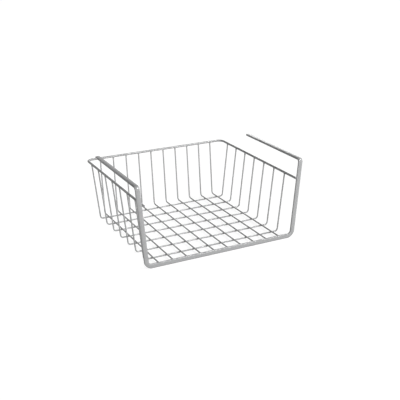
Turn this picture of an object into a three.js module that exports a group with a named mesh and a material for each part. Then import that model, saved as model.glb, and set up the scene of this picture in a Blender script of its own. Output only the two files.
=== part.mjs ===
// Under-shelf wire basket: two flat arms lie on a shelf board and carry a cradle of welded wire below it.
// Millimetres. +Z is up, +Y runs from the open front to the back wall, +X is the right side from the front.
// The origin is the middle of the footprint, level with the underside of the front rail.
import * as THREE from "three";

// Front frame: one flat bar, bent from arm tip to arm tip
const frameHeight = 140; // underside of the rail to the top of the arms
const armSpan = 302; // over the outer edges of the two arms
const railSpan = 278; // over the outer edges of the uprights, level with the rail
const armLength = 173; // front of the frame to the arm tips
const barWidth = 8;
const barThickness = 4;
const barEdge = 1; // rounding along the edges of the bar
const armBendInside = 3; // bend above the shelf edge, on its inner side
const railBendInside = 5; // lower corners, on their inner side

// Rim: one round rod, a U in plan
const rimRod = 4; // diameter
const rimHeight = 109; // underside of the rail to the top of the rim
const rimBendInside = 9; // back corners, on their inner side
const basketDepth = 260; // front of the frame to the back of the rim

// Grid: long wires run back and up the back wall, cross wires run from side to side and up both side walls
const gridWire = 2.5; // diameter
const gridBendInside = 4;
const longWireCount = 10;
const longWireInset = 14; // outermost long wire to the foot of the side wall
const crossWireCount = 7;
const crossWireFront = 32; // middle of the bar to the first cross wire
const crossWireBack = 16; // last cross wire to the foot of the back wall
const sideLean = 11.5; // how far a side wall leans outwards from its foot to the rim
const backLean = 10; // how far the back wall leans outwards from its foot to the rim

// Clearance between two pieces at a weld
const weldGap = 0.3;

// Fineness of the round shapes
const bendSteps = 8;
const roundSides = 12;
const edgeSteps = 4;

const up = new THREE.Vector3(0, 0, 1);
const front = new THREE.Vector3(0, -1, 0);
const right = new THREE.Vector3(1, 0, 0);

// Places that several pieces share
const frameY = (barThickness - basketDepth) / 2;
const armX = (armSpan - barWidth) / 2;
const armZ = frameHeight - barThickness / 2;
const railX = (railSpan - barWidth) / 2;
const railZ = barWidth / 2;
const rimZ = rimHeight - rimRod / 2;
const rimBackY = (basketDepth - rimRod) / 2;
const rimX = rimBesideUpright();
const sideFootX = rimX - sideLean;
const backFootY = rimBackY - backLean;
const crossZ = gridWire / 2;
const longZ = crossZ + gridWire + weldGap;

// The rim lies against the inner face of each upright, which leans outwards from the rail to the arm.
function rimBesideUpright() {
  const lean = Math.atan2(armX - railX, armZ - railZ);
  const uprightX = railX + (rimZ - railZ) * Math.tan(lean);
  return uprightX - (barWidth / 2 + weldGap + rimRod / 2) / Math.cos(lean);
}

// Middle line of a bent rod: straight runs from corner to corner, with a round bend at each inner corner.
// facing[i] is where the rod's flat side looks on run i, and it turns to facing[i + 1] through the bend.
class RodLine extends THREE.Curve {
  constructor(corners, facing, bendRadii) {
    super();
    this.points = [];
    this.frames = { tangents: [], normals: [], binormals: [] };
    const runs = facing.map((_, i) => corners[i + 1].clone().sub(corners[i]).normalize());
    this.addSection(corners[0], runs[0], facing[0]);
    bendRadii.forEach((radius, i) => {
      this.addBend(corners[i + 1], [runs[i], runs[i + 1]], [facing[i], facing[i + 1]], radius);
    });
    this.addSection(corners.at(-1), runs.at(-1), facing.at(-1));
  }

  addSection(point, along, looking) {
    const face = looking.clone().addScaledVector(along, -looking.dot(along)).normalize();
    this.points.push(point);
    this.frames.tangents.push(along);
    this.frames.normals.push(face.clone().cross(along));
    this.frames.binormals.push(face);
  }

  addBend(corner, [arriving, leaving], [before, after], radius) {
    const turn = arriving.angleTo(leaving);
    const axis = arriving.clone().cross(leaving).normalize();
    const start = corner.clone().addScaledVector(arriving, -radius * Math.tan(turn / 2));
    const centre = axis.clone().cross(arriving).multiplyScalar(radius).add(start);
    const spoke = start.clone().sub(centre);
    for (let step = 0; step <= bendSteps; step += 1) {
      const share = step / bendSteps;
      const point = spoke.clone().applyAxisAngle(axis, turn * share).add(centre);
      const along = arriving.clone().applyAxisAngle(axis, turn * share);
      this.addSection(point, along, before.clone().lerp(after, share));
    }
  }

  getSpacedPoints() {
    return this.points;
  }

  computeFrenetFrames() {
    return this.frames;
  }
}

// Flat bar with rounded edges: width along X, thickness along Y
// A rounding takes up to a third of the thickness.
function barSection() {
  const edge = Math.min(barEdge, barThickness / 3);
  const flatX = barWidth / 2 - edge;
  const flatY = barThickness / 2 - edge;
  const quarter = Math.PI / 2;
  const section = new THREE.Shape();
  section.absarc(flatX, flatY, edge, 0, quarter);
  section.absarc(-flatX, flatY, edge, quarter, 2 * quarter);
  section.absarc(-flatX, -flatY, edge, 2 * quarter, 3 * quarter);
  section.absarc(flatX, -flatY, edge, 3 * quarter, 4 * quarter);
  return section;
}

function roundSection(diameter) {
  return new THREE.Shape().absarc(0, 0, diameter / 2, 0, 2 * Math.PI);
}

// An arc of the section is drawn with twice as many chords as curveSegments says.
function bentRod(name, section, arcChords, line) {
  const solid = new THREE.ExtrudeGeometry(section, {
    steps: line.points.length - 1,
    curveSegments: arcChords / 2,
    extrudePath: line,
  });
  const finish = new THREE.MeshStandardMaterial({ color: 0xb9babb, roughness: 0.38, metalness: 0.75 });
  const rod = new THREE.Mesh(solid, finish);
  rod.name = name;
  return rod;
}

// A wall wire points at the middle of the rim rod and stops just short of its surface.
function wireTop(foot, rimPoint) {
  const reach = foot.clone().sub(rimPoint).setLength(rimRod / 2 + weldGap);
  return reach.add(rimPoint);
}

function frontFrame() {
  const tipY = frameY + armLength - barThickness / 2;
  const corners = [
    new THREE.Vector3(-armX, tipY, armZ),
    new THREE.Vector3(-armX, frameY, armZ),
    new THREE.Vector3(-railX, frameY, railZ),
    new THREE.Vector3(railX, frameY, railZ),
    new THREE.Vector3(armX, frameY, armZ),
    new THREE.Vector3(armX, tipY, armZ),
  ];
  const armBend = armBendInside + barThickness / 2;
  const railBend = railBendInside + barWidth / 2;
  const line = new RodLine(corners, [up, front, front, front, up], [armBend, railBend, railBend, armBend]);
  return bentRod("front_frame", barSection(), edgeSteps, line);
}

// The rod's two front ends finish flush with the front of the frame.
function rimRodPiece() {
  const frontY = frameY - barThickness / 2;
  const corners = [
    new THREE.Vector3(-rimX, frontY, rimZ),
    new THREE.Vector3(-rimX, rimBackY, rimZ),
    new THREE.Vector3(rimX, rimBackY, rimZ),
    new THREE.Vector3(rimX, frontY, rimZ),
  ];
  const rimBend = rimBendInside + rimRod / 2;
  const line = new RodLine(corners, [up, up, up], [rimBend, rimBend]);
  return bentRod("rim_rod", roundSection(rimRod), roundSides, line);
}

const gridBend = gridBendInside + gridWire / 2;

function longWire(name, x) {
  const foot = new THREE.Vector3(x, backFootY, longZ);
  const corners = [
    new THREE.Vector3(x, frameY + barThickness / 2 + weldGap, longZ),
    foot,
    wireTop(foot, new THREE.Vector3(x, rimBackY, rimZ)),
  ];
  const line = new RodLine(corners, [right, right], [gridBend]);
  return bentRod(name, roundSection(gridWire), roundSides, line);
}

function crossWire(name, y) {
  const leftFoot = new THREE.Vector3(-sideFootX, y, crossZ);
  const rightFoot = new THREE.Vector3(sideFootX, y, crossZ);
  const corners = [
    wireTop(leftFoot, new THREE.Vector3(-rimX, y, rimZ)),
    leftFoot,
    rightFoot,
    wireTop(rightFoot, new THREE.Vector3(rimX, y, rimZ)),
  ];
  const line = new RodLine(corners, [front, front, front], [gridBend, gridBend]);
  return bentRod(name, roundSection(gridWire), roundSides, line);
}

const basket = new THREE.Group();
basket.add(frontFrame(), rimRodPiece());

const longWireReach = sideFootX - longWireInset;
for (let i = 0; i < longWireCount; i += 1) {
  const x = THREE.MathUtils.lerp(-longWireReach, longWireReach, i / (longWireCount - 1));
  basket.add(longWire(`long_wire_${String(i + 1).padStart(2, "0")}`, x));
}

const firstCrossY = frameY + crossWireFront;
const lastCrossY = backFootY - crossWireBack;
for (let i = 0; i < crossWireCount; i += 1) {
  const y = THREE.MathUtils.lerp(firstCrossY, lastCrossY, i / (crossWireCount - 1));
  basket.add(crossWire(`cross_wire_${i + 1}`, y));
}

export default basket;
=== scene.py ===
import math
import random

import bmesh
import bpy
from mathutils import Matrix, Vector


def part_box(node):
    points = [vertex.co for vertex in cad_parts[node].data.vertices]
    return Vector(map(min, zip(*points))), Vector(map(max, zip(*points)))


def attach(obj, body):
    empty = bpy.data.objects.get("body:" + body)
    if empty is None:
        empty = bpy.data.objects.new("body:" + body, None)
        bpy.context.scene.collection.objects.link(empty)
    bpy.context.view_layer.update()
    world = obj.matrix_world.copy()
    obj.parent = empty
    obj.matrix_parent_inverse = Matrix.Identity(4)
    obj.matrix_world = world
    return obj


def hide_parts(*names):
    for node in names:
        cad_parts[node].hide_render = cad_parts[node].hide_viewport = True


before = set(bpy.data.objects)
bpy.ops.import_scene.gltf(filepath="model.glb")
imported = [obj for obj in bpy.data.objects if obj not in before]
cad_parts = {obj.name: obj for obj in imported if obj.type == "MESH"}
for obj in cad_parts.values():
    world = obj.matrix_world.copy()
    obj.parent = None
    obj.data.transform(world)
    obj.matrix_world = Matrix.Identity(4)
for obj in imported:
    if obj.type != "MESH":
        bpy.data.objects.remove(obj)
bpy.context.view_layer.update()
mm = 0.001  # the scene is in metres
right = Vector((1, 0, 0))
front = Vector((0, -1, 0))
up = Vector((0, 0, 1))
print("frame loaded:", len(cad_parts), "nodes")

leastRingGap = 0.02 * mm  # rings nearer to each other than this count as one


# Rings along a bent rod. Each ring has a place, the rod's direction there, the way the rod's flat side
# looks, and how far along the rod it is.
def bentRings(corners, facing, bendRadii, bendSteps):
    runs = [(end - start).normalized() for start, end in zip(corners, corners[1:])]
    rings = []

    def addRing(at, along, looking):
        face = (looking - along * looking.dot(along)).normalized()
        gone = 0.0
        if rings:
            gone = rings[-1]["gone"] + (at - rings[-1]["at"]).length
        rings.append(dict(at=at, along=along, face=face, gone=gone))

    addRing(corners[0], runs[0], facing[0])
    for i, radius in enumerate(bendRadii):
        turn = runs[i].angle(runs[i + 1])
        axis = runs[i].cross(runs[i + 1]).normalized()
        start = corners[i + 1] - runs[i] * (radius * math.tan(turn / 2))
        centre = start + axis.cross(runs[i]) * radius
        for step in range(bendSteps + 1):
            share = step / bendSteps
            swing = Matrix.Rotation(turn * share, 3, axis)
            looking = facing[i].lerp(facing[i + 1], share)
            addRing(centre + swing @ (start - centre), swing @ runs[i], looking)
    addRing(corners[-1], runs[-1], facing[-1])
    return rings


# More rings, at the given distances along the rod
def addRings(rings, distances):
    for gone in distances:
        later = next((i for i, ring in enumerate(rings) if ring["gone"] > gone), None)
        nearest = min(abs(ring["gone"] - gone) for ring in rings)
        if not later or nearest < leastRingGap:
            continue
        before = rings[later - 1]
        after = rings[later]
        share = (gone - before["gone"]) / (after["gone"] - before["gone"])
        between = {key: before[key].lerp(after[key], share) for key in ("at", "along", "face")}
        rings.insert(later, dict(between, gone=gone))


# Sides between neighbouring loops of points, and a cap at each end
def closeLoops(skin, loops):
    for low, high in zip(loops, loops[1:]):
        for k, point in enumerate(low):
            following = (k + 1) % len(low)
            skin.faces.new((point, low[following], high[following], high[k]))
    skin.faces.new(loops[0])
    skin.faces.new(loops[-1])


# A closed skin over the rings. outline(gone) gives (across, through, rub) for each point of the
# section, and weldNear(gone) is 1 on a weld and 0 away from it.
def skinOver(rings, outline, weldNear):
    skin = bmesh.new()
    rubLayer = skin.verts.layers.float.new("rub")
    weldLayer = skin.verts.layers.float.new("weld")
    loops = []
    for ring in rings:
        side = ring["face"].cross(ring["along"])
        loop = []
        for across, through, rub in outline(ring["gone"]):
            point = skin.verts.new(ring["at"] + side * across + ring["face"] * through)
            point[rubLayer] = rub
            point[weldLayer] = weldNear(ring["gone"])
            loop.append(point)
        loops.append(loop)
    closeLoops(skin, loops)
    bmesh.ops.recalc_face_normals(skin, faces=skin.faces)
    return skin


# A section of the given half widths, with no rub on it
def roundOutline(across, through, sides):
    turns = [2 * math.pi * k / sides for k in range(sides)]
    return [(across * math.cos(turn), through * math.sin(turn), 0.0) for turn in turns]


# How much a section shrinks near a rounded cut end
def endInset(fromCut, rounding):
    if fromCut >= rounding:
        return 0.0
    return rounding - math.sqrt(max(rounding ** 2 - (rounding - fromCut) ** 2, 0.0))


# Where the rings of both rounded ends lie along the rod
def endDistances(length, rounding, steps):
    near = [rounding * (1 - math.cos(0.5 * math.pi * k / steps)) for k in range(1, steps + 1)]
    return near + [length - fromCut for fromCut in near]


# 1 at the spot itself, and soon 0 beyond its reach
def bump(distance, reach):
    return math.exp(-((distance / reach) ** 2))


def makePiece(name, skin, finish, slotName, *nodes):
    mesh = bpy.data.meshes.new(name)
    skin.to_mesh(mesh)
    skin.free()
    mesh.shade_smooth()
    mesh.materials.append(finish)
    piece = bpy.data.objects.new(name, mesh)
    bpy.context.scene.collection.objects.link(piece)
    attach(piece, "root")
    if nodes:
        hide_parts(*nodes)


# Shader tools
def addNode(tree, kind, at, **settings):
    node = tree.nodes.new(kind)
    node.location = at
    for setting, value in settings.items():
        setattr(node, setting, value)
    return node


# Sets or links a node's inputs, each given by its name or number
def feed(tree, node, inputs):
    for socket, value in inputs.items():
        if isinstance(value, bpy.types.NodeSocket):
            tree.links.new(value, node.inputs[socket])
        else:
            node.inputs[socket].default_value = value
    return node


def mathNode(tree, operation, at, first, second, third=0.0):
    node = addNode(tree, "ShaderNodeMath", at, operation=operation)
    return feed(tree, node, {0: first, 1: second, 2: third}).outputs[0]


# Mixes two colours. A colour mix has its factor at input 0, its colours at 6 and 7, its result at 2.
def mixNode(tree, blend, at, factor, first, second):
    node = addNode(tree, "ShaderNodeMix", at, data_type="RGBA", blend_type=blend)
    return feed(tree, node, {0: factor, 6: first, 7: second}).outputs[2]


# Noise that lies on the piece, with spots of about the given size
def noiseNode(tree, size, y, detail, roughness=0.5):
    place = addNode(tree, "ShaderNodeTexCoord", (-1200, y)).outputs["Object"]
    scale = mathNode(tree, "DIVIDE", (-1000, y), 1.0, size)
    noise = addNode(tree, "ShaderNodeTexNoise", (-800, y))
    feed(tree, noise, {"Vector": place, "Scale": scale, "Detail": detail, "Roughness": roughness})
    return noise.outputs["Fac"]


# A smooth step of value from low to high
def rampNode(tree, at, value, start, end, low=0.0, high=1.0):
    ramp = addNode(tree, "ShaderNodeMapRange", at, interpolation_type="SMOOTHSTEP")
    feed(tree, ramp, {"Value": value, "From Min": start, "From Max": end, "To Min": low, "To Max": high})
    return ramp.outputs[0]


def newGroup(name, inputs, outputs):
    group = bpy.data.node_groups.new(name, "ShaderNodeTree")
    for socketName, kind in inputs.items():
        group.interface.new_socket(socketName, in_out="INPUT", socket_type=kind)
    for socketName, kind in outputs.items():
        group.interface.new_socket(socketName, in_out="OUTPUT", socket_type=kind)
    given = addNode(group, "NodeGroupInput", (-1500, 0)).outputs
    result = addNode(group, "NodeGroupOutput", (600, 0))
    return group, given, result


plainValue = "NodeSocketFloat"
colour = "NodeSocketColor"
filmNoise = 0.55  # how strong the finer part of the film's drift and peel is
rubStart = 0.25  # rub times speckle from which the rubbed coat shows
rubFull = 0.6


# Metallic pigment in a satin coat: flakes, slow drifts of tone and a sprayed film's faint orange peel
def buildSatinFlake():
    inputs = {
        "Tone": colour,
        "Flake Size": plainValue,
        "Flake Contrast": plainValue,
        "Drift Size": plainValue,
        "Drift Contrast": plainValue,
        "Peel Size": plainValue,
        "Roughness": plainValue,
        "Roughness Spread": plainValue,
    }
    outputs = {"Color": colour, "Roughness": plainValue, "Height": plainValue}
    group, given, result = newGroup("satinFlake", inputs, outputs)
    place = addNode(group, "ShaderNodeTexCoord", (-1200, 500)).outputs["Object"]
    flakeScale = mathNode(group, "DIVIDE", (-1000, 500), 1.0, given["Flake Size"])
    cells = addNode(group, "ShaderNodeTexVoronoi", (-800, 500), feature="F1")
    feed(group, cells, {"Vector": place, "Scale": flakeScale})
    cellTone = addNode(group, "ShaderNodeSeparateColor", (-600, 500))
    feed(group, cellTone, {"Color": cells.outputs["Color"]})
    drift = noiseNode(group, given["Drift Size"], 200, detail=3.0, roughness=filmNoise)
    peel = noiseNode(group, given["Peel Size"], -100, detail=2.0, roughness=filmNoise)

    # Flakes and drift lift the tone or lower it
    flakeLift = mathNode(group, "SUBTRACT", (-400, 500), cellTone.outputs["Red"], 0.5)
    driftLift = mathNode(group, "SUBTRACT", (-400, 250), drift, 0.5)
    lift = mathNode(group, "MULTIPLY_ADD", (-200, 500), flakeLift, given["Flake Contrast"], 1.0)
    lift = mathNode(group, "MULTIPLY_ADD", (0, 400), driftLift, given["Drift Contrast"], lift)
    shade = addNode(group, "ShaderNodeVectorMath", (250, 400), operation="SCALE")
    feed(group, shade, {"Vector": given["Tone"], "Scale": lift})
    spread = given["Roughness Spread"]
    rough = mathNode(group, "MULTIPLY_ADD", (250, 150), driftLift, spread, given["Roughness"])
    feed(group, result, {"Color": shade.outputs["Vector"], "Roughness": rough, "Height": peel})
    return group


# Where the coat is rubbed thin: the skin's rub value, broken up by a fine speckle
def buildEdgeRub():
    inputs = {"Amount": plainValue, "Speckle Size": plainValue}
    group, given, result = newGroup("edgeRub", inputs, {"Mask": plainValue})
    rub = addNode(group, "ShaderNodeAttribute", (-800, 200), attribute_name="rub")
    speckle = noiseNode(group, given["Speckle Size"], -100, detail=3.0)
    broken = mathNode(group, "MULTIPLY", (-500, 100), rub.outputs["Fac"], speckle)
    sharper = rampNode(group, (-300, 100), broken, rubStart, rubFull)
    mask = mathNode(group, "MULTIPLY", (100, 100), sharper, given["Amount"])
    feed(group, result, {"Mask": mask})
    return group


# Where a weld lies under the coat: duller, darker and a little lumpy
def buildWeldDull():
    inputs = {"Amount": plainValue, "Lump Size": plainValue}
    group, given, result = newGroup("weldDull", inputs, {"Mask": plainValue, "Height": plainValue})
    weld = addNode(group, "ShaderNodeAttribute", (-800, 200), attribute_name="weld")
    lumps = noiseNode(group, given["Lump Size"], -100, detail=2.0)
    mask = mathNode(group, "MULTIPLY", (-400, 200), weld.outputs["Fac"], given["Amount"])
    height = mathNode(group, "MULTIPLY", (-100, -50), mask, lumps)
    feed(group, result, {"Mask": mask, "Height": height})
    return group


satinFlake = buildSatinFlake()
edgeRub = buildEdgeRub()
weldDull = buildWeldDull()
print("shader groups built")


def makeCoat(name, look):
    finish = bpy.data.materials.new(name)
    finish.use_nodes = True
    tree = finish.node_tree
    flake = addNode(tree, "ShaderNodeGroup", (-900, 300), node_tree=satinFlake)
    feed(tree, flake, {
        "Tone": (*look["tone"], 1.0),
        "Flake Size": look["flakeSize"],
        "Flake Contrast": look["flakeContrast"],
        "Drift Size": look["driftSize"],
        "Drift Contrast": look["driftContrast"],
        "Peel Size": look["peelSize"],
        "Roughness": look["roughness"],
        "Roughness Spread": look["roughnessSpread"],
    })
    rub = addNode(tree, "ShaderNodeGroup", (-900, -100), node_tree=edgeRub)
    feed(tree, rub, {"Amount": look["rubAmount"], "Speckle Size": look["rubSpeckle"]})
    weld = addNode(tree, "ShaderNodeGroup", (-900, -300), node_tree=weldDull)
    feed(tree, weld, {"Amount": look["weldAmount"], "Lump Size": look["lumpSize"]})

    tone = flake.outputs["Color"]
    tone = mixNode(tree, "MULTIPLY", (-600, 300), weld.outputs["Mask"], tone, (*look["weldTone"], 1.0))
    tone = mixNode(tree, "MIX", (-350, 300), rub.outputs["Mask"], tone, (*look["rubTone"], 1.0))
    rough = mathNode(tree, "MULTIPLY_ADD", (-600, 0),
                     weld.outputs["Mask"], look["weldRoughness"], flake.outputs["Roughness"])
    height = mathNode(tree, "MULTIPLY_ADD", (-600, -250),
                      weld.outputs["Height"], look["lumpShare"], flake.outputs["Height"])
    relief = addNode(tree, "ShaderNodeBump", (-350, -250))
    feed(tree, relief, {
        "Strength": look["peelStrength"],
        "Distance": look["peelDepth"],
        "Height": height,
    })
    feed(tree, tree.nodes["Principled BSDF"], {
        "Base Color": tone,
        "Roughness": rough,
        "Metallic": look["metallic"],
        "Specular IOR Level": look["specular"],
        "Normal": relief.outputs["Normal"],
    })
    return finish


barLook = dict(
    tone=(0.36, 0.362, 0.365),
    metallic=0.18,
    specular=0.03,
    roughness=0.20,
    roughnessSpread=0.10,
    flakeSize=0.22 * mm,
    flakeContrast=0.16,
    driftSize=30 * mm,
    driftContrast=0.12,
    peelSize=1.3 * mm,
    peelStrength=0.12,
    peelDepth=0.05 * mm,
    rubAmount=0.35,
    rubSpeckle=0.9 * mm,
    rubTone=(0.52, 0.52, 0.53),
    weldAmount=1.0,
    weldTone=(0.5, 0.5, 0.51),  # what the tone is multiplied by on a weld
    weldRoughness=0.12,  # added to the roughness there
    lumpSize=0.8 * mm,
    lumpShare=1.5,  # height of the weld's lumps against the peel
)
wireLook = dict(
    barLook,
    tone=(0.45, 0.452, 0.455),
    driftSize=18 * mm,
    peelSize=0.9 * mm,
    rubAmount=0.2,
)
rimShadeLook = dict(wireLook, tone=(0.42, 0.422, 0.425))  # painted shade: the wires' coat in a darker tone, so the rod looks a shade darker than the wires
weldLook = dict(wireLook, roughness=0.34, peelStrength=0.25, weldAmount=0.1)
barCoat = makeCoat("barCoat", barLook)
wireCoat = makeCoat("wireCoat", wireLook)
rimShadeCoat = makeCoat("rimShadeCoat", rimShadeLook)
weldCoat = makeCoat("weldCoat", weldLook)
print("coats made")

# Front frame: one flat bar bent from arm tip to arm tip
frontBar = dict(
    width=8 * mm,
    thickness=4 * mm,
    edge=1.5 * mm,  # rounding along the edges
    edgeMost=0.95,  # share of the half thickness that the rounding may take, which counts at the tips
    crown=0.2 * mm,  # how far the rolled faces bulge
    railSpan=278 * mm,  # over the outer edges of the uprights, level with the rail
    armBend=3 * mm,  # inside of the bends over the shelf edge
    railBend=5 * mm,  # inside of the lower corners
    tipRounding=0.6 * mm,
    cornerDraw=0.5 * mm,  # how far the outer edge is drawn in at a lower corner
    cornerSwell=0.06,  # share by which the bar thickens on the inside of a lower corner
    bendSteps=20,
    edgeSteps=5,
    faceSteps=6,
    tipSteps=5,
)
barLow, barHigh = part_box("front_frame")
armX = barHigh.x - frontBar["width"] / 2
armZ = barHigh.z - frontBar["thickness"] / 2
barY = barLow.y + frontBar["thickness"] / 2
railX = (frontBar["railSpan"] - frontBar["width"]) / 2
railZ = barLow.z + frontBar["width"] / 2
railBackY = barY + frontBar["thickness"] / 2


def buildFrontBar():
    bar = frontBar
    corners = [
        Vector((-armX, barHigh.y, armZ)),
        Vector((-armX, barY, armZ)),
        Vector((-railX, barY, railZ)),
        Vector((railX, barY, railZ)),
        Vector((armX, barY, armZ)),
        Vector((armX, barHigh.y, armZ)),
    ]
    armBend = bar["armBend"] + bar["thickness"] / 2
    railBend = bar["railBend"] + bar["width"] / 2
    bends = [armBend, railBend, railBend, armBend]
    rings = bentRings(corners, [up, front, front, front, up], bends, bar["bendSteps"])
    length = rings[-1]["gone"]
    perBend = bar["bendSteps"] + 1
    lowerCorners = [  # where each lower corner starts and ends along the bar
        (rings[1 + perBend * i]["gone"], rings[perBend * (i + 1)]["gone"]) for i in (1, 2)
    ]
    addRings(rings, endDistances(length, bar["tipRounding"], bar["tipSteps"]))

    def cornerShare(gone):  # 1 in the middle of a lower corner, 0 outside it
        for start, end in lowerCorners:
            if start < gone < end:
                return math.sin(math.pi * (gone - start) / (end - start)) ** 2
        return 0.0

    # One wide face of the section between its rounded edges, with its crown
    def widePoints(side, halfFlat, halfThickness):
        points = []
        for k in range(1, bar["faceSteps"]):
            share = 1 - 2 * k / bar["faceSteps"]
            through = halfThickness - bar["crown"] * share ** 2
            points.append((side * share * halfFlat, side * through, 0.0))
        return points

    def outline(gone):
        inset = endInset(min(gone, length - gone), bar["tipRounding"])
        halfWidth = bar["width"] / 2 - inset
        halfThickness = bar["thickness"] / 2 - inset
        edgeTop = halfThickness - bar["crown"]
        edge = min(bar["edge"], bar["edgeMost"] * edgeTop)
        points = []
        for quarter, (signX, signY) in enumerate(((1, 1), (-1, 1), (-1, -1), (1, -1))):
            centreX = signX * (halfWidth - edge)
            centreY = signY * (edgeTop - edge)
            for step in range(bar["edgeSteps"] + 1):
                turn = math.pi / 2 * (quarter + step / bar["edgeSteps"])
                rub = math.sin(2 * turn) ** 2
                points.append((centreX + edge * math.cos(turn), centreY + edge * math.sin(turn), rub))
            if quarter % 2 == 0:
                points += widePoints(signY, halfWidth - edge, halfThickness)
        bent = cornerShare(gone)
        drawn = []
        for across, through, rub in points:
            through *= 1 + bar["cornerSwell"] * bent * across / halfWidth
            if across < 0:  # the outer half
                across += bar["cornerDraw"] * bent
            drawn.append((across, through, rub))
        return drawn

    skin = skinOver(rings, outline, lambda gone: 0.0)
    makePiece("front_bar", skin, barCoat, "frame_coat", "front_frame")


buildFrontBar()
print("front bar built")

# Rim: one round rod, a U in plan, with its ends against the inner faces of the uprights
rimRod = dict(
    bend=9 * mm,  # inside of the back corners
    tipRounding=0.45 * mm,
    cutReach=0.5 * mm,  # how far the bare cut's dullness reaches
    besideBar=0.3,  # share of that dullness along the weld to the upright
    besideReach=1.5 * mm,  # how far it fades out past the upright
    sides=28,
    bendSteps=18,
    tipSteps=4,
    weldRings=8,  # over twice the bar's thickness
)
rimLow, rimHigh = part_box("rim_rod")
rimRadius = (rimHigh.z - rimLow.z) / 2
rimX = rimHigh.x - rimRadius
rimZ = rimHigh.z - rimRadius
rimFrontY = rimLow.y
rimBackY = rimHigh.y - rimRadius


def buildRimRod():
    rod = rimRod
    corners = [
        Vector((-rimX, rimFrontY, rimZ)),
        Vector((-rimX, rimBackY, rimZ)),
        Vector((rimX, rimBackY, rimZ)),
        Vector((rimX, rimFrontY, rimZ)),
    ]
    bend = rod["bend"] + rimRadius
    rings = bentRings(corners, [up, up, up], [bend, bend], rod["bendSteps"])
    length = rings[-1]["gone"]
    weldReach = frontBar["thickness"]
    marks = [2 * weldReach * (k + 1) / rod["weldRings"] for k in range(rod["weldRings"])]
    marks += [length - mark for mark in marks]
    addRings(rings, endDistances(length, rod["tipRounding"], rod["tipSteps"]) + marks)

    def outline(gone):
        radius = rimRadius - endInset(min(gone, length - gone), rod["tipRounding"])
        return roundOutline(radius, radius, rod["sides"])

    def weldNear(gone):
        fromCut = min(gone, length - gone)
        onCut = bump(fromCut, rod["cutReach"])
        alongWeld = bump(max(fromCut - weldReach, 0.0), rod["besideReach"])
        return max(onCut, rod["besideBar"] * alongWeld)

    makePiece("rim_rod_drawn", skinOver(rings, outline, weldNear), rimShadeCoat, "wire_coat", "rim_rod")


buildRimRod()
print("rim rod built")

# Grid wires: pressed together at each crossing, flared where an end is welded on
gridWire = dict(
    bend=4 * mm,  # inside of the bends at the foot of the walls
    sideLean=11.5 * mm,  # how far a side wall leans out up to the rim
    backLean=10 * mm,  # the same for the back wall
    flareAlong=0.55,  # how much wider a weld makes the wire along the rim
    flareAcross=0.2,
    flareReach=0.9 * mm,
    railFlare=0.4,  # how much wider the weld to the rail makes it
    sunkInRim=1.2 * mm,
    sunkInRail=0.6 * mm,
    pressFlat=0.16 * mm,  # depth of the flat that the welding tips leave at a crossing
    pressReach=1.3 * mm,
    pressLeast=0.01 * mm,  # a flat shallower than this is left out
    weldShade=0.1,  # how much of the weld's dullness shows on a wire
    sides=20,
    bendSteps=16,
    pressRings=(-1.8, -1.2, -0.7, -0.3, 0, 0.3, 0.7, 1.2, 1.8),  # times pressReach from a crossing
    flareRings=(0, 0.25, 0.5, 0.8, 1.2, 1.7, 2.3, 3),  # times flareReach from a welded end
)
longNodes = sorted(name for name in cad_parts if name.startswith("long_wire"))
crossNodes = sorted(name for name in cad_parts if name.startswith("cross_wire"))
longBoxes = [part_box(name) for name in longNodes]
crossBoxes = [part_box(name) for name in crossNodes]
longX = [(low.x + high.x) / 2 for low, high in longBoxes]
crossY = [(low.y + high.y) / 2 for low, high in crossBoxes]
longLow, longHigh = longBoxes[0]
crossLow = crossBoxes[0][0]
wireRadius = (longHigh.x - longLow.x) / 2
longZ = longLow.z + wireRadius
crossZ = crossLow.z + wireRadius
footX = rimX - gridWire["sideLean"]
footY = rimBackY - gridWire["backLean"]


# The end of a wall wire, sunk in the rim rod under its weld
def wallTop(foot, rimPoint):
    return rimPoint + (foot - rimPoint).normalized() * (rimRadius - gridWire["sunkInRim"])


# One grid wire. ends holds (distance where it meets what it is welded to, wider along, wider across)
# for each welded end, and pressSide says which side the welding tip flattens at the spots.
def buildGridWire(name, node, rings, ends, spots, pressSide):
    wire = gridWire
    length = rings[-1]["gone"]
    marks = [spot + wire["pressReach"] * k for spot in spots for k in wire["pressRings"]]
    for surface, _, _ in ends:
        inward = 1 if surface < length / 2 else -1
        marks += [surface + inward * wire["flareReach"] * k for k in wire["flareRings"]]
    addRings(rings, marks)

    def pastWeld(surface, gone):
        return max(gone - surface if surface < length / 2 else surface - gone, 0.0)

    def pressed(gone):
        return max(bump(gone - spot, wire["pressReach"]) for spot in spots)

    def outline(gone):
        acrossScale = 1.0
        throughScale = 1.0
        for surface, along, across in ends:
            near = math.exp(-pastWeld(surface, gone) / wire["flareReach"])
            acrossScale += across * near
            throughScale += along * near
        section = roundOutline(wireRadius * acrossScale, wireRadius * throughScale, wire["sides"])
        flat = wire["pressFlat"] * pressed(gone)
        limit = wireRadius - flat
        points = []
        for across, through, _ in section:
            if flat > wire["pressLeast"] and pressSide * across > limit:
                across = pressSide * limit
            rub = max(pressSide * across / wireRadius, 0.0) ** 2
            points.append((across, through, rub))
        return points

    def weldNear(gone):
        atEnds = [bump(pastWeld(surface, gone), 2 * wire["flareReach"]) for surface, _, _ in ends]
        return wire["weldShade"] * max(*atEnds, pressed(gone))

    makePiece(name, skinOver(rings, outline, weldNear), wireCoat, "wire_coat", node)


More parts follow.
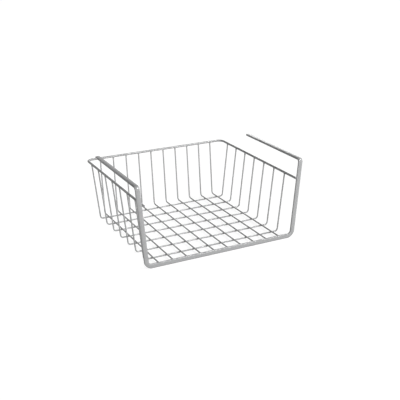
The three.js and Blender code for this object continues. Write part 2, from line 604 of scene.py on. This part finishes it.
# An L from the rail along the floor and up the back wall
def buildLongWire(number, node, x):
    wire = gridWire
    foot = Vector((x, footY, longZ))
    start = Vector((x, railBackY - wire["sunkInRail"], longZ))
    corners = [start, foot, wallTop(foot, Vector((x, rimBackY, rimZ)))]
    rings = bentRings(corners, [right, right], [wire["bend"] + wireRadius], wire["bendSteps"])
    length = rings[-1]["gone"]
    ends = [
        (wire["sunkInRail"], wire["railFlare"], wire["railFlare"]),
        (length - wire["sunkInRim"], wire["flareAlong"], wire["flareAcross"]),
    ]
    spots = [y - start.y for y in crossY]
    buildGridWire(f"floor_wire_{number:02d}", node, rings, ends, spots, 1)


# A U from the left rim down the wall, across under the long wires and up to the right rim
def buildCrossWire(number, node, y):
    wire = gridWire
    leftFoot = Vector((-footX, y, crossZ))
    rightFoot = Vector((footX, y, crossZ))
    corners = [
        wallTop(leftFoot, Vector((-rimX, y, rimZ))),
        leftFoot,
        rightFoot,
        wallTop(rightFoot, Vector((rimX, y, rimZ))),
    ]
    bend = wire["bend"] + wireRadius
    rings = bentRings(corners, [front, front, front], [bend, bend], wire["bendSteps"])
    length = rings[-1]["gone"]
    ends = [
        (wire["sunkInRim"], wire["flareAlong"], wire["flareAcross"]),
        (length - wire["sunkInRim"], wire["flareAlong"], wire["flareAcross"]),
    ]
    spots = [length / 2 + x for x in longX]
    buildGridWire(f"hoop_wire_{number}", node, rings, ends, spots, -1)


for i, (node, x) in enumerate(zip(longNodes, longX)):
    buildLongWire(i + 1, node, x)
for i, (node, y) in enumerate(zip(crossNodes, crossY)):
    buildCrossWire(i + 1, node, y)
print("grid wires built:", len(longNodes) + len(crossNodes))

# Weld nuggets: necks of metal squeezed out between two wires, or between the rim and an upright
nugget = dict(
    waist=0.75 * mm,
    flare=0.95 * mm,  # half length along each wire
    buried=0.7 * mm,  # half width inside each wire
    sunk=0.55,  # share of the wire's radius that the nugget reaches in
    neckCurve=1.6,  # 1 widens evenly from the waist to the ends, more does so later
    unevenness=0.12,
    seed=7,
    levels=9,
    sides=20,
)
chance = random.Random(nugget["seed"])


# Adds a neck that stands around centre along axes[2]. Each pair of widths holds half widths along
# axes[0] and axes[1], for the low end, the waist and the high end.
def addNeck(skin, centre, axes, halfHeight, lowWidths, waistWidths, highWidths):
    weldLayer = skin.verts.layers.float.get("weld") or skin.verts.layers.float.new("weld")
    size = 1 + nugget["unevenness"] * chance.uniform(-1, 1)
    lean = nugget["unevenness"] * halfHeight * chance.uniform(-1, 1)
    loops = []
    for level in range(nugget["levels"]):
        height = 2 * level / (nugget["levels"] - 1) - 1  # from -1 to 1
        endWidths = lowWidths if height < 0 else highWidths
        pull = abs(height) ** nugget["neckCurve"]
        widths = [size * (waist + (end - waist) * pull) for waist, end in zip(waistWidths, endWidths)]
        loop = []
        for k in range(nugget["sides"]):
            turn = 2 * math.pi * k / nugget["sides"]
            outward = axes[0] * (math.cos(turn) * widths[0] + lean * height)
            outward += axes[1] * (math.sin(turn) * widths[1])
            point = skin.verts.new(centre + outward + axes[2] * (halfHeight * height))
            point[weldLayer] = 1.0
            loop.append(point)
        loops.append(loop)
    closeLoops(skin, loops)


def buildFloorWelds():
    skin = bmesh.new()
    middleZ = (longZ + crossZ) / 2
    halfHeight = (longZ - crossZ) / 2 - (1 - nugget["sunk"]) * wireRadius
    alongCross = (nugget["flare"], nugget["buried"])
    waist = (nugget["waist"], nugget["waist"])
    alongLong = (nugget["buried"], nugget["flare"])
    for x in longX:
        for y in crossY:
            centre = Vector((x, y, middleZ))
            addNeck(skin, centre, (right, -front, up), halfHeight, alongCross, waist, alongLong)
    bmesh.ops.recalc_face_normals(skin, faces=skin.faces)
    makePiece("floor_welds", skin, weldCoat, "wire_coat")


# Half widths along the rod and up the upright
uprightWeld = dict(
    waist=(1.3 * mm, 1.2 * mm),
    atBar=(1.35 * mm, 2.3 * mm),
    atRod=(1.45 * mm, 1.3 * mm),
    sunk=0.7 * mm,  # how far it reaches into the bar and the rod
)


def buildUprightWelds():
    weld = uprightWeld
    skin = bmesh.new()
    lean = math.atan2(armX - railX, armZ - railZ)
    uprightX = railX + (rimZ - railZ) * math.tan(lean)
    gap = (uprightX - rimX) * math.cos(lean) - rimRadius - frontBar["width"] / 2
    for side in (-1, 1):
        outward = Vector((side * math.cos(lean), 0, -math.sin(lean)))
        upright = Vector((side * math.sin(lean), 0, math.cos(lean)))
        rodFace = Vector((side * rimX, barY, rimZ)) + outward * rimRadius
        centre = rodFace + outward * (gap / 2)
        addNeck(skin, centre, (-front, upright, outward), gap / 2 + weld["sunk"],
                weld["atRod"], weld["waist"], weld["atBar"])
    bmesh.ops.recalc_face_normals(skin, faces=skin.faces)
    makePiece("upright_welds", skin, weldCoat, "wire_coat")


buildFloorWelds()
buildUprightWelds()
print("welds built")

# Studio: a pale floor, soft boxes and a quiet room
studio = dict(
    floorTone=0.26,  # low, so that the floor throws little light up at the wires
    nearGlow=0.845,  # what takes the lit floor to white around the object
    glowLean=(-0.124, 0.143, 0.0),  # change of that per metre, less where the lamps light the floor more
    farGlow=1.0,  # and far away, where the lamps don't reach
    glowStart=0.4,  # metres from the middle
    glowEnd=2.0,
    floorHalf=14.0,
    floorDrop=0.2 * mm,
    ceilingTone=0.03,
    horizonTone=1.0,
    horizonReach=0.10,  # height of the pale band above the horizon, as a slope
    backdropRise=0.42,  # how much higher the pale band reaches behind the object
    paperLow=0.28,  # slope up to which the seen background is white, all round
    paperHigh=0.45,  # and from which it isn't
    lampAim=(0.0, 0.0, 60 * mm),
)
lamps = dict(  # metres and watts; gloss says whether a lamp shows as a highlight on the coats
    frontBox=dict(at=(0.1, -1.93, 0.5), wide=1.5, high=1.1, power=34.0, gloss=False),
    stripBox=dict(at=(0.95, -1.2, 1.55), wide=1.1, high=0.35, power=25.0, gloss=True),
    rightBox=dict(at=(1.7, -0.2, 1.35), wide=1.0, high=1.2, power=10.0, gloss=True),
    backBox=dict(at=(1.5, 1.6, 0.55), wide=1.2, high=0.8, power=8.0, gloss=True),
)


# 1 for rays that show the background: seen straight, in a gloss or through glass
def seenRays(tree):
    path = addNode(tree, "ShaderNodeLightPath", (-900, 200)).outputs
    seen = mathNode(tree, "MAXIMUM", (-650, 250), path["Is Camera Ray"], path["Is Glossy Ray"])
    return mathNode(tree, "MAXIMUM", (-450, 200), seen, path["Is Transmission Ray"])


def makeFloorPaper():
    paper = bpy.data.materials.new("floorPaper")
    paper.use_nodes = True
    tree = paper.node_tree
    place = addNode(tree, "ShaderNodeTexCoord", (-900, -200)).outputs["Object"]
    away = addNode(tree, "ShaderNodeVectorMath", (-700, -200), operation="LENGTH")
    feed(tree, away, {0: place})
    lean = addNode(tree, "ShaderNodeVectorMath", (-900, -400), operation="DOT_PRODUCT")
    feed(tree, lean, {0: place, 1: studio["glowLean"]})
    near = mathNode(tree, "ADD", (-700, -400), lean.outputs["Value"], studio["nearGlow"])
    fade = rampNode(tree, (-500, -200), away.outputs["Value"], studio["glowStart"], studio["glowEnd"],
                    low=near, high=studio["farGlow"])
    glow = mathNode(tree, "MULTIPLY", (-250, 200), seenRays(tree), fade)
    tone = studio["floorTone"]
    feed(tree, tree.nodes["Principled BSDF"], {
        "Base Color": (tone, tone, tone, 1.0),
        "Roughness": 1.0,
        "Specular IOR Level": 0.0,
        "Emission Color": (1.0, 1.0, 1.0, 1.0),
        "Emission Strength": glow,
    })
    return paper


def buildFloor():
    half = studio["floorHalf"]
    z = barLow.z - studio["floorDrop"]
    corners = [(-half, -half, z), (half, -half, z), (half, half, z), (-half, half, z)]
    mesh = bpy.data.meshes.new("floor")
    mesh.from_pydata(corners, [], [(0, 1, 2, 3)])
    mesh.materials.append(makeFloorPaper())
    floor = bpy.data.objects.new("floor", mesh)
    bpy.context.scene.collection.objects.link(floor)


# The room lights the object from a pale band around the horizon, and shows white paper as background.
def buildRoom():
    room = bpy.data.worlds.new("room")
    bpy.context.scene.world = room
    room.use_nodes = True
    tree = room.node_tree
    look = addNode(tree, "ShaderNodeTexCoord", (-1100, 0)).outputs["Generated"]
    toward = addNode(tree, "ShaderNodeSeparateXYZ", (-900, 0))
    slope = feed(tree, toward, {"Vector": look}).outputs
    height = mathNode(tree, "MULTIPLY_ADD", (-700, 0), slope["Y"], -studio["backdropRise"], slope["Z"])
    band = rampNode(tree, (-500, 0), height, 0.0, studio["horizonReach"],
                    low=studio["horizonTone"], high=studio["ceilingTone"])
    paper = rampNode(tree, (-500, 300), slope["Z"], studio["paperLow"], studio["paperHigh"],
                     low=1.0, high=0.0)
    white = mathNode(tree, "MULTIPLY", (-250, 200), seenRays(tree), paper)
    tone = mathNode(tree, "MAXIMUM", (-50, 100), white, band)
    feed(tree, tree.nodes["Background"], {"Color": tone, "Strength": 1.0})


def buildLamps():
    aim = Vector(studio["lampAim"])
    for name, lamp in lamps.items():
        light = bpy.data.lights.new(name, "AREA")
        light.shape = "RECTANGLE"
        light.size = lamp["wide"]
        light.size_y = lamp["high"]
        light.energy = lamp["power"]
        holder = bpy.data.objects.new(name, light)
        holder.location = lamp["at"]
        holder.rotation_euler = (aim - holder.location).to_track_quat("-Z", "Y").to_euler()
        holder.visible_camera = False
        holder.visible_glossy = lamp["gloss"]
        bpy.context.scene.collection.objects.link(holder)


# Camera at the photograph's place
camera = dict(
    azimuth=-27.263,  # degrees, as the two below
    elevation=20.800,
    roll=-0.253,
    distance=1.29469,
    aim=(13.32 * mm, -21.98 * mm, 53.94 * mm),
    lens=66.857,  # millimetres, as the sensor
    sensor=36.0,
)


def buildCamera():
    azimuth = math.radians(camera["azimuth"])
    elevation = math.radians(camera["elevation"])
    level = math.cos(elevation)
    back = Vector((math.sin(azimuth) * level, -math.cos(azimuth) * level, math.sin(elevation)))
    roll = Matrix.Rotation(math.radians(camera["roll"]), 3, "Z").to_quaternion()
    eye = bpy.data.cameras.new("camera")
    eye.sensor_width = camera["sensor"]
    eye.lens = camera["lens"]
    holder = bpy.data.objects.new("camera", eye)
    holder.rotation_euler = ((-back).to_track_quat("-Z", "Y") @ roll).to_euler()
    holder.location = Vector(camera["aim"]) + back * camera["distance"]
    bpy.context.scene.collection.objects.link(holder)
    bpy.context.scene.camera = holder


buildFloor()
buildRoom()
buildLamps()
buildCamera()
bpy.context.scene.view_settings.view_transform = "Standard"
print("studio built")
